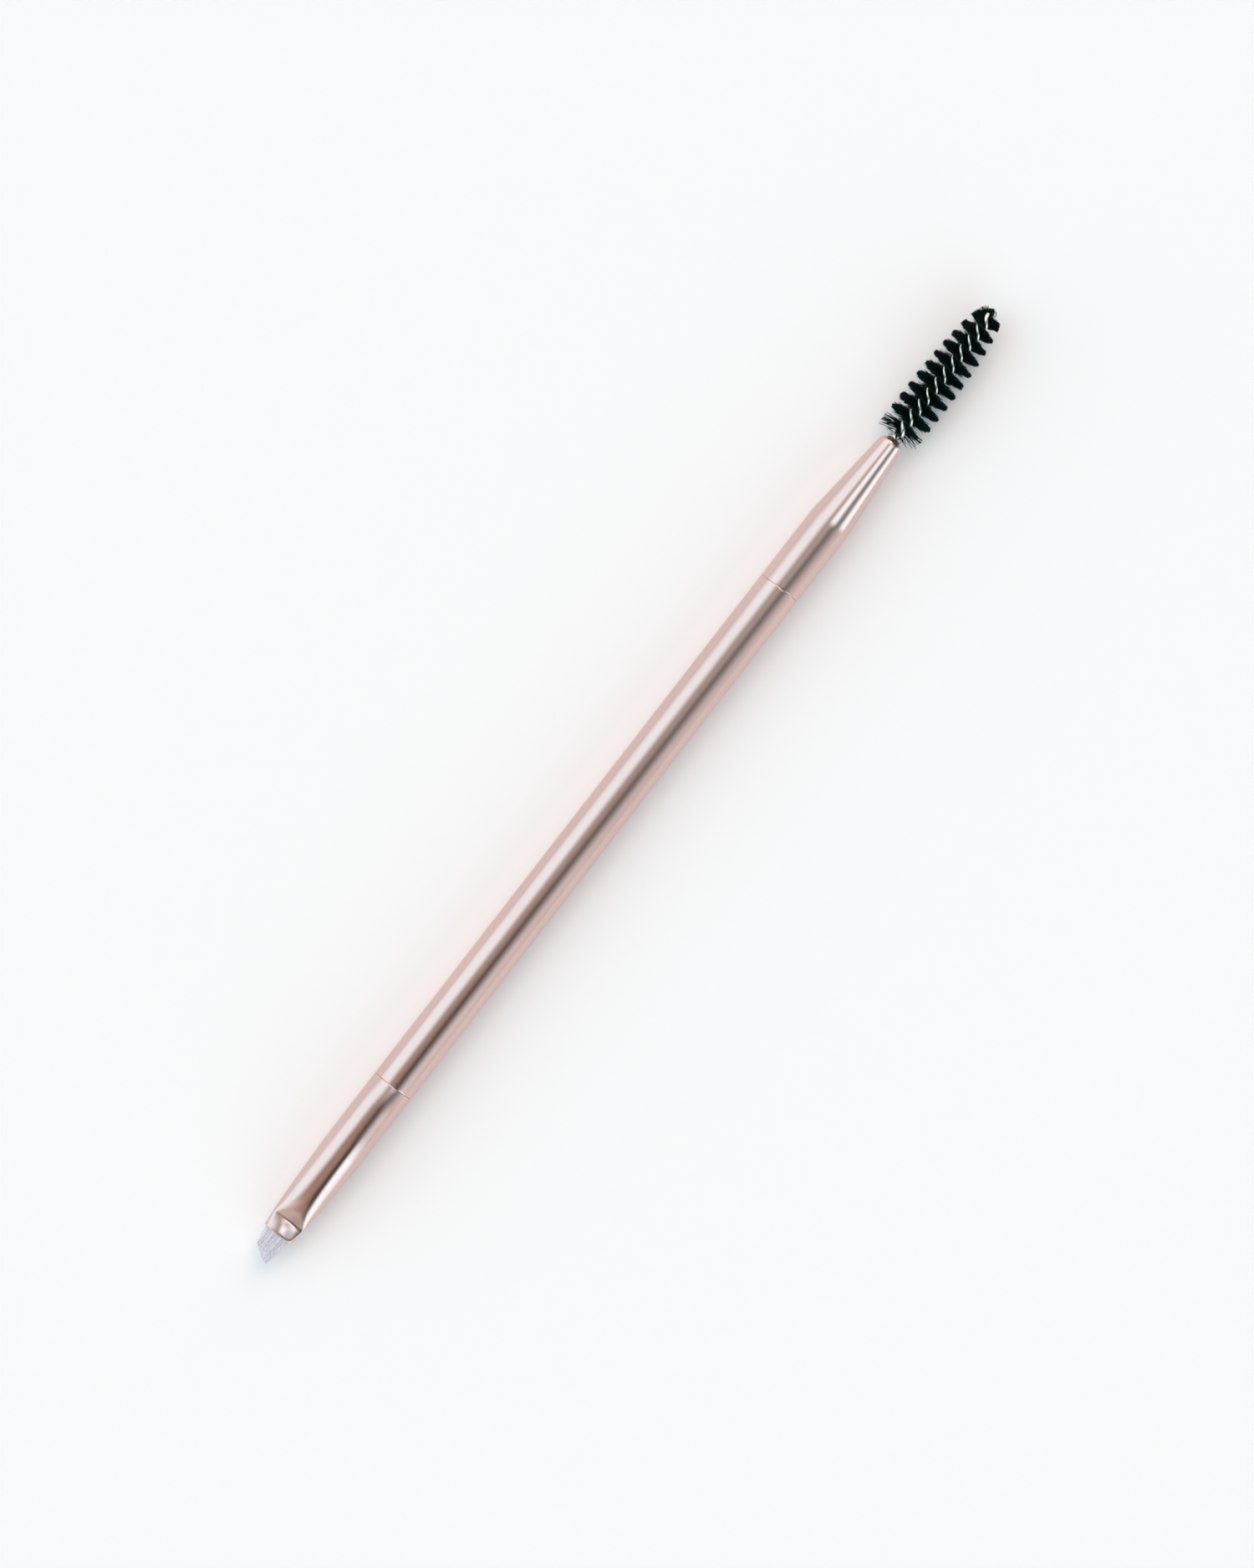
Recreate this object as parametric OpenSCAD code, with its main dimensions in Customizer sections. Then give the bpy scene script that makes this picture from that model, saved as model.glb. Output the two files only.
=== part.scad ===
// Double-ended eyebrow brush, lying on its side.
// The handle runs along X: the angled brow brush is at the -X end and the spoolie at the +X end.
// Z = 0 is the surface that it lies on, and X = 0 is the middle of its whole length.

/* [Handle] */
// Outside diameter of the handle tube and of both ferrules
handle_d = 6.0; // [5:0.1:8]
// Length of the handle tube between its two seams
handle_len = 83.8; // [50:0.5:110]
// Wall of the handle tube
tube_wall = 0.5; // [0.4:0.05:0.8]
// Bevel on each tube end, which draws the hairline at a seam
seam_bevel = 0.13; // [0.06:0.01:0.2]

/* [Plugs] */
// How far each plug reaches into the handle tube
plug_reach = 12; // [8:0.5:18]
// Radial glue clearance between a plug and the tube round it
plug_fit = 0.02; // [0.01:0.005:0.05]
// Bevel on the end of a plug
plug_bevel = 0.6; // [0.3:0.1:0.9]
// Width of a glue groove round a plug
groove_w = 1.2; // [0.6:0.1:1.6]
// Depth of a glue groove
groove_t = 0.15; // [0.05:0.05:0.3]

/* [Brow ferrule] */
// Length from the seam to the flat mouth
brow_ferrule_len = 25.0; // [22:0.5:32]
// Length next to the seam that stays round
brow_round_len = 11.3; // [9:0.1:13]
// Width of the flat mouth
mouth_w = 4.45; // [3.6:0.05:5.5]
// Thickness that the press leaves at the mouth
mouth_t = 2.75; // [2.4:0.05:3]
// Thickness that the cone would have at the mouth without the press
cone_t = 2.86; // [2.6:0.02:3.2]
// Thickness in the waist of the crimp
crimp_t = 1.6; // [1.5:0.05:2]
// Distance of the crimp's waist from the mouth
crimp_back = 2.4; // [1.8:0.1:3.4]
// Slope of the pressed facets that run down to the waist
pinch_slope = 0.6; // [0.45:0.01:0.75]
// Slope of the pressed faces across the brush, from a press that stood askew
press_roll = 0.12; // [-0.12:0.01:0.12]
// Wall of both ferrules
ferrule_wall = 0.3; // [0.25:0.05:0.4]

/* [Brow bristles] */
// Reach of the long corner beyond the mouth
brow_reach = 4.2; // [3:0.1:8]
// How much shorter the short corner is
brow_slant = 1.5; // [0.6:0.1:2.4]
// Length of the slanted edge across the brush
brow_edge_w = 2.65; // [2:0.05:3.2]
// Distance of the slanted edge's middle from the axis
brow_edge_off = 0.17; // [-0.3:0.01:0.4]
// Thickness of the bundle at its slanted edge
brow_edge_t = 0.45; // [0.3:0.05:0.8]
// Length of the bristle roots inside the ferrule
brow_root_len = 6.5; // [5:0.5:7.5]
// Length of the epoxy plug behind the roots
epoxy_len = 4.0; // [2:0.5:5]

/* [Spoolie ferrule] */
// Length from the seam to the nose
spoolie_ferrule_len = 24.7; // [20:0.1:32]
// Length from the seam to the corner where the cone starts
spoolie_round_len = 11.0; // [7:0.1:13]
// Radius that blends the round part into the cone
cone_blend_r = 12; // [4:1:16]
// Diameter of the cone at its rolled nose
nose_d = 3.4; // [3.1:0.05:4]
// Diameter of the hole in the nose
nose_hole_d = 2.0; // [1.9:0.02:2.2]
// How far the plug's tip stands out of the nose
stub_out = 0.4; // [0.2:0.1:0.8]

/* [Spoolie wire] */
// Diameter of the wire
wire_d = 0.7; // [0.56:0.02:0.72]
// Gap between the two strands, which the bristles fill
wire_gap = 0.13; // [0.11:0.01:0.16]
// Length of one full turn of the twist
wire_pitch = 3.61; // [3:0.05:4.5]
// Length of the twisted shank held in the plug
shank_len = 8; // [6:0.5:11]
// Distance of the wire's folded tip from the tip of the bristles
fold_back = 0.5; // [0.4:0.1:1]

/* [Spoolie bristles] */
// Reach of the bristles beyond the nose
spoolie_reach = 22.3; // [16:0.1:30]
// Diameter of the spoolie at its widest
spoolie_d = 6.28; // [5:0.02:8]
// Length over which it narrows towards its tip
spoolie_taper_len = 17; // [10:0.5:20]
// Distance of the first bristles from the nose
fan_start = 1.1; // [0.9:0.1:2]
// Clearance between the fan's root and each strand
fan_fit = 0.035; // [0.03:0.005:0.045]
// Thickness of the fan of bristles at its outer edge
fan_t = 0.22; // [0.12:0.01:0.3]
// Depth of the notches along the fan's edge, as a share of its radius
fan_notch = 0.06; // [0:0.01:0.12]

/* [Hidden] */

$fn = 72;
handle_r = handle_d / 2;
axis_z = handle_r;
ferrule_bore_r = handle_r - ferrule_wall;
tube_bore_r = handle_r - tube_wall;

// Stations along X
total_len = brow_reach + brow_ferrule_len + handle_len + spoolie_ferrule_len + spoolie_reach;
brow_tip_x = -total_len / 2;
brow_mouth_x = brow_tip_x + brow_reach;
brow_seam_x = brow_mouth_x + brow_ferrule_len;
spoolie_seam_x = brow_seam_x + handle_len;
nose_x = spoolie_seam_x + spoolie_ferrule_len;
spoolie_tip_x = nose_x + spoolie_reach;

function blend(a, b, t) = a + (b - a) * t;
function ease(t) = let (c = min(1, max(0, t))) c * c * (3 - 2 * c);

// A body of revolution about the handle's axis, from [radius, distance along X] points
module turned(start_x) {
    translate([start_x, 0, axis_z]) rotate([0, 90, 0]) rotate_extrude() children();
}

// Faces between rings of equal size, each given as the index of its first point. The diagonals lean
// one way on an open skin and the other way on a closed one, so that a core and its shell match.
function ring_join(a, b, count, closed) = [
    for (j = [0 : count - 1]) let (k = (j + 1) % count)
        each closed ? [[a + j, b + j, a + k], [b + j, b + k, a + k]]
                    : [[a + j, b + j, b + k], [a + j, b + k, a + k]]
];
function skin_faces(rings, count, closed = false) = [
    for (i = [0 : rings - (closed ? 1 : 2)])
        each ring_join(i * count, ((i + 1) % rings) * count, count, closed)
];
// End cap of a ring whose second half mirrors its first, as strips from one edge to the other
function strip_cap(first, count, far = false) = [
    for (i = [0 : count / 2 - 1])
        let (a = first + i, b = first + i + 1,
             c = first + (count - i - 1) % count, d = first + (count - i) % count,
             quad = i == 0 ? [a, b, c] : i == count / 2 - 1 ? [a, b, d] : [a, b, c, d])
        far ? [for (k = [len(quad) - 1 : -1 : 0]) quad[k]] : quad
];
function flat_list(rings) = [for (ring = rings) each ring];
function backwards(list) = [for (i = [len(list) - 1 : -1 : 0]) list[i]];

// Handle

module handle_tube() {
    color("#d8b0a6") turned(brow_seam_x) polygon([
        [tube_bore_r, 0], [handle_r - seam_bevel, 0], [handle_r, seam_bevel],
        [handle_r, handle_len - seam_bevel], [handle_r - seam_bevel, handle_len],
        [tube_bore_r, handle_len]
    ]);
}

// Outline of the glued tail of a plug, from its beveled end to the seam that it stops at
plug_tail_r = tube_bore_r - plug_fit;
function groove(r, at) = [
    [r, at], [r - groove_t, at + groove_t], [r - groove_t, at + groove_w - groove_t], [r, at + groove_w]
];
function plug_tail() = [
    [plug_tail_r - plug_bevel, -plug_reach], [plug_tail_r, -plug_reach + plug_bevel],
    each groove(plug_tail_r, -plug_reach * 0.75), each groove(plug_tail_r, -plug_reach * 0.4),
    [plug_tail_r, 0]
];

// Brow end

// The ferrule is round at the seam and narrows to an oval mouth. A press leaves a facet on each
// face that slopes down to the crimp's waist, from where the face rises again to the mouth. Its
// sections are given at a distance from the seam and at a depth below its outer skin.
brow_sides = 48;
crimp_at = brow_ferrule_len - crimp_back;
facet_r = 14;
mouth_r = 2.8;
press_reach = 2;
press_power = 4;
least_half_t = 0.15;
mouth_round = 0.09;

function brow_cone(at) = max(0, (at - brow_round_len) / (brow_ferrule_len - brow_round_len));
function brow_half_w(at) = let (t = brow_cone(at)) blend(handle_r, mouth_w / 2, 0.68 * t + 0.32 * pow(t, 6));
function press_half_t(at) = crimp_t / 2 + (at < crimp_at
    ? pinch_slope * (crimp_at - at) : (mouth_t - crimp_t) / 2 * (at - crimp_at) / crimp_back);
function press_bow(at) = blend(1 / facet_r, 1 / mouth_r, ease((at - crimp_at + 0.6) / crimp_back));
function pressed(y, z, half_t, bow) =
    let (off = y / sqrt(1 + pow(y / press_reach, 2)),
         limit = max(least_half_t, half_t + sign(z) * press_roll * off - bow * off * off / 2))
    z / pow(1 + pow(abs(z) / limit, press_power), 1 / press_power);
function brow_section(at, depth) =
    let (half_w = brow_half_w(at) - depth, cone_half_t = blend(handle_r, cone_t / 2, brow_cone(at)) - depth)
    [for (i = [0 : brow_sides - 1]) let (angle = 360 * i / brow_sides, y = half_w * cos(angle))
        [brow_seam_x - at, y,
         axis_z + pressed(y, cone_half_t * sin(angle), press_half_t(at) - depth, press_bow(at))]];
cone_steps = 4;
facet_len = 3.2;
facet_steps = 8;
mouth_steps = 5;
function brow_stations(first) = [
    first, brow_round_len,
    for (i = [1 : cone_steps]) blend(brow_round_len, crimp_at - facet_len, i / cone_steps),
    for (i = [1 : facet_steps]) blend(crimp_at - facet_len, crimp_at, i / facet_steps),
    for (i = [1 : mouth_steps]) blend(crimp_at, brow_ferrule_len - mouth_round, i / mouth_steps)
];
function with_stop(list, at) = [for (s = list) if (s < at) s, at, for (s = list) if (s > at) s];
root_end_at = brow_ferrule_len - brow_root_len;
epoxy_end_at = root_end_at - epoxy_len;
inside_stations = with_stop(with_stop(
    [for (s = brow_stations(0)) if (s < brow_ferrule_len - mouth_round) s, brow_ferrule_len],
    root_end_at), epoxy_end_at);
core_depth = ferrule_wall + plug_fit;

module brow_ferrule() {
    outer = [
        brow_section(brow_ferrule_len, mouth_round),
        for (at = backwards(brow_stations(seam_bevel))) brow_section(at, 0),
        brow_section(0, seam_bevel)
    ];
    inner = [for (at = inside_stations) brow_section(at, ferrule_wall)];
    rings = concat(outer, inner);
    color("#d8b0a6") polyhedron(flat_list(rings), skin_faces(len(rings), brow_sides, true));
}

// Dowel that joins the ferrule to the handle: its step stops on the end of the handle tube
module brow_plug() {
    head_r = ferrule_bore_r * cos(180 / brow_sides) - plug_fit;
    head_len = brow_round_len - 1;
    color("#e9e4da") translate([brow_seam_x, 0, axis_z]) rotate([0, -90, 0]) rotate_extrude() polygon([
        [0, -plug_reach], each plug_tail(), [head_r, 0], each groove(head_r, head_len * 0.5),
        [head_r, head_len - plug_bevel], [head_r - plug_bevel, head_len], [0, head_len]
    ]);
}

// A solid with mirrored rings, closed at both ends
module capped(rings) {
    count = len(rings[0]);
    polyhedron(flat_list(rings), concat(
        strip_cap(0, count), skin_faces(len(rings), count),
        strip_cap((len(rings) - 1) * count, count, true)
    ));
}

module brow_epoxy() {
    color("#c9a24a") capped([
        for (at = backwards(inside_stations))
            if (at >= epoxy_end_at && at <= root_end_at) brow_section(at, core_depth)
    ]);
}

// The bundle fills the ferrule to its mouth, and then narrows to an edge that is cut on a slant
brow_flutes = 7;
flute_share = 0.1;
function bundle_point(root, out) =
    let (side = root[1] / (mouth_w / 2 - core_depth),
         across = (side + 1) / 2,
         edge_x = brow_tip_x + brow_slant * pow(across, 1.3),
         edge_y = brow_edge_off + side * brow_edge_w / 2,
         thinned = blend(1, brow_edge_t / (mouth_t - 2 * core_depth), pow(out, 1.1)),
         flute = 1 - flute_share * sin(180 * out) * (1 + cos(360 * brow_flutes * across)) / 2)
    [blend(brow_mouth_x, edge_x, out), blend(root[1], edge_y, pow(out, 1.8)),
     axis_z + (root[2] - axis_z) * thinned * flute];

module brow_bristles() {
    out_steps = 6;
    mouth = brow_section(brow_ferrule_len, core_depth);
    color("#dfe4ea") capped([
        for (k = [out_steps : -1 : 1]) [for (p = mouth) bundle_point(p, k / out_steps)],
        for (at = backwards(inside_stations)) if (at >= root_end_at) brow_section(at, core_depth)
    ]);
}

// Spoolie end

lip_r = (nose_d - nose_hole_d) / 4;
cone_len = spoolie_ferrule_len - lip_r - spoolie_round_len;
cone_angle = atan((handle_r - nose_d / 2) / cone_len);
blend_x = spoolie_round_len - cone_blend_r * tan(cone_angle / 2);
blend_steps = 4;
lip_inner_x = spoolie_ferrule_len - 2 * lip_r;

// Outline of the round part and the cone at a depth below the outer skin, up to a distance from the seam
function cone_r(at, depth) = handle_r - (at - spoolie_round_len) * tan(cone_angle) - depth / cos(cone_angle);
function cone_outline(depth, end) = [
    for (i = [0 : blend_steps]) let (a = cone_angle * i / blend_steps)
        [handle_r - cone_blend_r + (cone_blend_r - depth) * cos(a), blend_x + (cone_blend_r - depth) * sin(a)],
    [cone_r(end, depth), end]
];
module spoolie_ferrule() {
    lip_x = spoolie_ferrule_len - lip_r;
    lip_mid_r = nose_hole_d / 2 + lip_r;
    color("#d8b0a6") turned(spoolie_seam_x) polygon([
        [ferrule_bore_r, 0], [handle_r - seam_bevel, 0], [handle_r, seam_bevel],
        each cone_outline(0, lip_x - lip_r / 2),
        for (i = [0 : 8]) [lip_mid_r + lip_r * cos(i * 22.5), lip_x + lip_r * sin(i * 22.5)],
        [nose_hole_d / 2, lip_inner_x],
        each backwards(cone_outline(ferrule_wall, lip_inner_x))
    ]);
}

core_r = wire_d + wire_gap / 2;

// Plug that grips the twisted wire: its step stops on the handle tube and its shoulder in the nose
module spoolie_plug() {
    stub_r = nose_hole_d / 2 - plug_fit;
    stub_bevel = 0.12;
    stub_end = spoolie_ferrule_len + stub_out;
    wire_bore_r = core_r + plug_fit;
    bore_end = stub_end - shank_len - 0.5;
    color("#6b4630") turned(spoolie_seam_x) polygon([
        [0, -plug_reach], each plug_tail(), [ferrule_bore_r - plug_fit, 0],
        each groove(ferrule_bore_r - plug_fit, spoolie_round_len * 0.5),
        each cone_outline(core_depth, lip_inner_x),
        [stub_r, lip_inner_x], [stub_r, stub_end - stub_bevel], [stub_r - stub_bevel, stub_end],
        [wire_bore_r, stub_end], [wire_bore_r, bore_end], [0, bore_end - wire_bore_r]
    ]);
}

// One wire, folded into a hairpin and twisted. Its two strands grip the roots of the bristles, so
// the fan of bristles stands square to the strands all along the twist.
strand_r = (wire_d + wire_gap) / 2;
fold_x = spoolie_tip_x - fold_back - wire_d / 2 - strand_r;
fold_ease = wire_pitch / 5;
ease_x = fold_x - fold_ease;
shank_x = nose_x + stub_out - shank_len;
last_fin_x = spoolie_tip_x - 2.0;
twist_rate = -360 / wire_pitch;
wire_sides = 8;
rings_per_turn = 12;

// Direction of the fan at x, as an angle from +Y: the twist dies away just before the fold
function fan_angle(x) = twist_rate * (min(x, ease_x) - last_fin_x)
    + (x > ease_x ? twist_rate * (x - ease_x) * (1 - (x - ease_x) / (2 * fold_ease)) : 0);
function fan_rate(x) = twist_rate * (x > ease_x ? 1 - (x - ease_x) / fold_ease : 1);
function around(angle) = [0, cos(angle), sin(angle)];
mid_line = [0, 0, axis_z];

// Each entry is [centre, direction of travel, outward direction]
function strand_step(x, side, way) =
    let (a = fan_angle(x) + 90 * side, out = around(a),
         run = [1, 0, 0] + strand_r * fan_rate(x) * PI / 180 * around(a + 90))
    [mid_line + [x, 0, 0] + strand_r * out, way * run / norm(run), out];
function fold_step(b) =
    let (out = around(fan_angle(fold_x) + 90))
    [mid_line + [fold_x, 0, 0] + strand_r * (cos(b) * out + sin(b) * [1, 0, 0]),
     cos(b) * [1, 0, 0] - sin(b) * out, cos(b) * out + sin(b) * [1, 0, 0]];

module spoolie_wire() {
    steps = ceil((fold_x - shank_x) / wire_pitch * rings_per_turn);
    path = [
        for (i = [0 : steps]) strand_step(blend(shank_x, fold_x, i / steps), 1, 1),
        for (b = [30 : 30 : 150]) fold_step(b),
        for (i = [steps : -1 : 0]) strand_step(blend(shank_x, fold_x, i / steps), -1, -1)
    ];
    points = [for (p = path) for (j = [0 : wire_sides - 1])
        let (a = 360 * j / wire_sides)
        p[0] + wire_d / 2 * (cos(a) * p[2] + sin(a) * cross(p[1], p[2]))];
    last = (len(path) - 1) * wire_sides;
    color("#c9cfc6") polyhedron(points, concat(
        [[for (j = [0 : wire_sides - 1]) j]], skin_faces(len(path), wire_sides),
        [[for (j = [wire_sides - 1 : -1 : 0]) last + j]]
    ));
}

// The fan is a twisted ribbon of bristles. It is one bristle thick between the strands and spreads
// towards its edge. What would reach below the surface is pressed flat on it.
fan_rings_per_turn = 16;
fan_root_x = nose_x + fan_start;
fan_end_x = fold_x - 0.1;
fan_root_t = wire_gap - 2 * fan_fit;
lean_back = 0.35;
lean_turns = 0.6;
tip_round = 0.3;

function fan_radius(x) =
    let (t = min(1, (spoolie_tip_x - x + tip_round) / (spoolie_taper_len + tip_round)))
    spoolie_d / 2 * pow(1 - pow(1 - t, 2.5), 1 / 3);
function fan_lean(x) =
    (spoolie_tip_x - fan_end_x) * ease((x - fan_end_x) / (lean_turns * wire_pitch) + 1)
    - lean_back * ease(1 - (x - fan_root_x) / (lean_turns * wire_pitch));
function fan_half_t(rho, edge) =
    blend(fan_root_t, fan_t, rho / edge) / 2 * norm([1, twist_rate * PI / 180 * rho]);
function fan_point(x, rho, t, edge) =
    let (a = fan_angle(x), p = mid_line + rho * around(a) + t * around(a + 90))
    [x + fan_lean(x) * pow(rho / edge, 2), p[1], max(0, p[2])];
function fan_ring(x, edge) =
    let (root = core_r + fan_fit, rim = 0.93 * edge, flat = fan_root_t / 2,
         half = [[rim, 1], [blend(root, rim, 0.45), 1], [root, 0.7], [strand_r, 0]],
         side = [for (h = half) [h[0], h[1] > 0 ? h[1] * fan_half_t(h[0], edge) : flat]],
         top = concat(side, [[0, flat]], [for (s = backwards(side)) [-s[0], s[1]]]))
    [for (p = concat([[edge, 0]], top, [[-edge, 0]], [for (q = backwards(top)) [q[0], -q[1]]]))
        fan_point(x, p[0], p[1], edge)];

module spoolie_bristles() {
    step = wire_pitch / fan_rings_per_turn;
    first = ceil((fan_root_x - last_fin_x) / step);
    last = floor((fan_end_x - last_fin_x) / step);
    stations = [for (i = [first : last]) last_fin_x + i * step];
    rings = [for (i = [0 : len(stations) - 1])
        let (x = i < len(stations) - 1 ? stations[i] : fan_end_x, notch = abs(first + i) % 2)
        fan_ring(x, fan_radius(x + fan_lean(x)) * (1 - fan_notch * notch))];
    color("#10241c") capped(rings);
}

handle_tube();
brow_ferrule();
brow_plug();
brow_epoxy();
brow_bristles();
spoolie_ferrule();
spoolie_plug();
spoolie_wire();
spoolie_bristles();
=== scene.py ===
import math
import random

import bmesh
import bpy
from bpy.props import FloatProperty, FloatVectorProperty, IntProperty, PointerProperty
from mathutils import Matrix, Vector


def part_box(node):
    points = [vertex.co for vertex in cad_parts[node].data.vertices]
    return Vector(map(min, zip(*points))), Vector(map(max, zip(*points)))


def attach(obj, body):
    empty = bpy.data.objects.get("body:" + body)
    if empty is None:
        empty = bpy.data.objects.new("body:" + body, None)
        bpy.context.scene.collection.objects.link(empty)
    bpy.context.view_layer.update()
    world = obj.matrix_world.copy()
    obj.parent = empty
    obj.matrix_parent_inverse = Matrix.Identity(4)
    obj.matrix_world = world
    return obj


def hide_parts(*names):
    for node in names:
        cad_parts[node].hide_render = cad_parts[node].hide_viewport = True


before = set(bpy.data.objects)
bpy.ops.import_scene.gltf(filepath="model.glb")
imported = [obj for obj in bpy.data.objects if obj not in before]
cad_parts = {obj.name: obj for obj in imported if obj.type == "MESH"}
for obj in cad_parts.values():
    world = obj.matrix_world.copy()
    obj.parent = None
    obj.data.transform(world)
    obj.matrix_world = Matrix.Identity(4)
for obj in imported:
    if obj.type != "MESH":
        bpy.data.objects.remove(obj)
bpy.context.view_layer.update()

bl_info = {
    "name": "Eyebrow brush",
    "version": (1, 0, 0),
    "blender": (4, 5, 0),
    "location": "View3D > Sidebar > Brush",
    "description": "A double-ended eyebrow brush: metal handle, angled brow brush and spoolie",
    "category": "Add Mesh",
}

MM = 0.001
TAU = math.tau

# Stations along X and the handle's radius, read off the frame
BROW_TIP_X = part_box("brow_bristles")[0].x
BROW_MOUTH_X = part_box("brow_ferrule")[0].x
BROW_SEAM_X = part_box("handle_tube")[0].x
SPOOLIE_SEAM_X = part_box("handle_tube")[1].x
NOSE_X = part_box("spoolie_ferrule")[1].x
WIRE_START_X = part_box("spoolie_wire")[0].x
SPOOLIE_TIP_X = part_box("spoolie_bristles")[1].x
HANDLE_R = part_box("handle_tube")[1].z / 2
AXIS_Z = HANDLE_R
BROW_FERRULE_LEN = BROW_SEAM_X - BROW_MOUTH_X
# Distance from a seam, a corner or a nose at which the first ring is cut
RING_CLEAR = 0.2 * MM


def length(name, text, default_mm):
    """A size property in metres, given in millimetres."""
    return FloatProperty(name=name, description=text, default=default_mm * MM,
                         unit="LENGTH", subtype="DISTANCE", precision=6)


def colour(name, text, *rgb):
    """A linear colour property."""
    return FloatVectorProperty(name=name, description=text, default=rgb, size=3,
                               subtype="COLOR", min=0.0, max=4.0)


class MetalSettings(bpy.types.PropertyGroup):
    tint: colour("Rose gold", "Colour of the anodised aluminium", 0.72, 0.52, 0.47)
    roughness: FloatProperty(name="Roughness", description="Satin of the metal", default=0.13)
    grain: length("Grain", "Size of the satin's grain", 0.11)
    tube_wall: length("Tube wall", "Wall of the handle tube", 0.5)
    ferrule_wall: length("Ferrule wall", "Wall of both ferrules", 0.3)
    seam_bevel: length("Seam bevel", "Rounding of each tube end, which draws the hairline", 0.09)
    round_steps: IntProperty(name="Steps round", description="Facets round the handle", default=160)


class BrowSettings(bpy.types.PropertyGroup):
    round_len: length("Round length", "Part of the ferrule next to the seam that stays round", 11.3)
    mouth_w: length("Mouth width", "Width of the flat mouth", 4.45)
    even_taper: FloatProperty(name="Even taper", default=0.68,
                              description="Share of the narrowing that runs evenly to the mouth")
    mouth_t: length("Mouth thickness", "Thickness of the flat mouth", 2.75)
    mouth_lip: length("Mouth lip", "Rounding of the mouth's rim", 0.09)
    cone_t: length("Cone thickness", "Thickness that the cone would have at the mouth", 2.86)
    crimp_t: length("Crimp thickness", "Thickness in the waist of the crimp", 1.6)
    crimp_back: length("Crimp distance", "Distance of the crimp's waist from the mouth", 2.4)
    waist_soft: length("Waist rounding", "Length over which the crimp's two slopes meet", 0.45)
    pinch_slope: FloatProperty(name="Pinch slope", default=0.6,
                               description="Slope of the pressed facets")
    press_roll: FloatProperty(name="Press roll", default=0.12,
                              description="Slope of the pressed faces across the brush")
    facet_r: length("Facet radius", "Radius of the pressed facets across the brush", 14.0)
    mouth_r: length("Mouth radius", "Radius of the mouth's faces across the brush", 2.8)
    slant: length("Slant", "How much shorter the short corner is", 1.5)
    edge_w: length("Edge width", "Length of the slanted edge across the brush", 2.65)
    edge_off: length("Edge offset", "Distance of the slanted edge's middle from the axis", 0.17)
    edge_t: length("Edge thickness", "Thickness of the bundle at its slanted edge", 0.45)
    fibre_d: length("Fibre", "Diameter of a fibre at the mouth", 0.075)
    fibres: IntProperty(name="Fibres", description="Number of fibres in the bundle", default=1500)
    uneven: length("Uneven ends", "How far the trimmed ends fall short of the edge", 0.05)
    flutes: IntProperty(name="Flutes", description="Shallow grooves along the bundle", default=7)
    flute_depth: FloatProperty(name="Flute depth", default=0.1,
                               description="Depth of a groove as a share of the thickness")
    tint: colour("Pale filament", "Colour of the brow fibres", 0.91, 0.845, 0.89)


class SpoolieSettings(bpy.types.PropertyGroup):
    round_len: length("Round length", "Part of the ferrule next to the seam that stays round", 11.0)
    cone_blend_r: length("Cone blend", "Radius that blends the round part into the cone", 12.0)
    nose_d: length("Nose", "Diameter of the cone at its rolled nose", 3.4)
    nose_hole_d: length("Nose hole", "Diameter of the hole in the nose", 2.0)
    wire_d: length("Wire", "Diameter of the wire", 0.7)
    wire_gap: length("Wire gap", "Gap between the two strands", 0.13)
    pitch: length("Pitch", "Length of one full turn of the twist", 3.61)
    last_fin: length("Last fin", "Distance of the last fin from the tip", 2.0)
    fold_back: length("Fold back", "Distance of the wire's fold from the bristles' tip", 0.5)
    fan_start: length("Fan start", "Distance of the first bristles from the nose", 1.1)
    width: length("Width", "Diameter of the spoolie at its widest", 6.28)
    taper_len: length("Taper", "Length over which it narrows towards its tip", 17.0)
    filament_d: length("Filament", "Diameter of a bristle", 0.09)
    per_turn: IntProperty(name="Bristles a turn", description="Bristles in one turn", default=440)
    tuft: IntProperty(name="Tuft", description="Bristles over the wire's fold", default=90)
    clump_size: IntProperty(name="Clump", description="Bristles that lean together", default=7)
    clump_lean: length("Clump lean", "How far a clump strays along the wire", 0.06)
    lean: length("Lean", "How far a single tip strays along the wire", 0.09)
    swing: FloatProperty(name="Swing", description="How far a tip strays round the wire",
                         default=0.1, subtype="ANGLE")
    curl: FloatProperty(name="Curl", description="How far a bristle's middle strays round the wire",
                        default=0.15, subtype="ANGLE")
    thin_base: FloatProperty(name="Thin base", default=0.8,
                             description="Share of the first bristles that are missing")
    tint: colour("Dark filament", "Colour of the spoolie's bristles", 0.001, 0.009, 0.005)
    # The bristles' paler ends are a painted highlight: the dark filament is drawn paler towards its
    # trimmed ends.
    painted_tip_highlight: colour("Bristle tips", "Colour of the bristles' trimmed ends", 0.004, 0.02, 0.019)
    wire_tint: colour("Wire colour", "Colour of the bare steel wire", 0.86, 0.92, 0.84)


class StageSettings(bpy.types.PropertyGroup):
    photo_height: length("View height", "Height that the view shows at the handle's axis", 208.76)
    lens: FloatProperty(name="Lens", description="Focal length in millimetres", default=135.0)
    axis_tilt: FloatProperty(name="Tilt", description="Turn of the brush in the view",
                             default=math.radians(52.19), subtype="ANGLE")
    sky_turn: FloatProperty(name="Sky turn", description="Turn of the light about the handle",
                            default=math.radians(3.5), subtype="ANGLE")
    backdrop: FloatProperty(name="Backdrop", description="Level of the pale ground", default=0.939)
    floor_albedo: FloatProperty(name="Floor colour", description="Grey of the floor", default=0.92)
    floor_glow: FloatProperty(name="Floor glow", description="What the floor adds to its own light",
                              default=0.05)
    floor_size: FloatProperty(name="Floor size", description="Half the floor's side", default=4.0,
                              unit="LENGTH", subtype="DISTANCE")


# Node and material helpers. A noise's scale counts its cells in a metre.

UNSCALED = (1.0, 1.0, 1.0)


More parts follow.
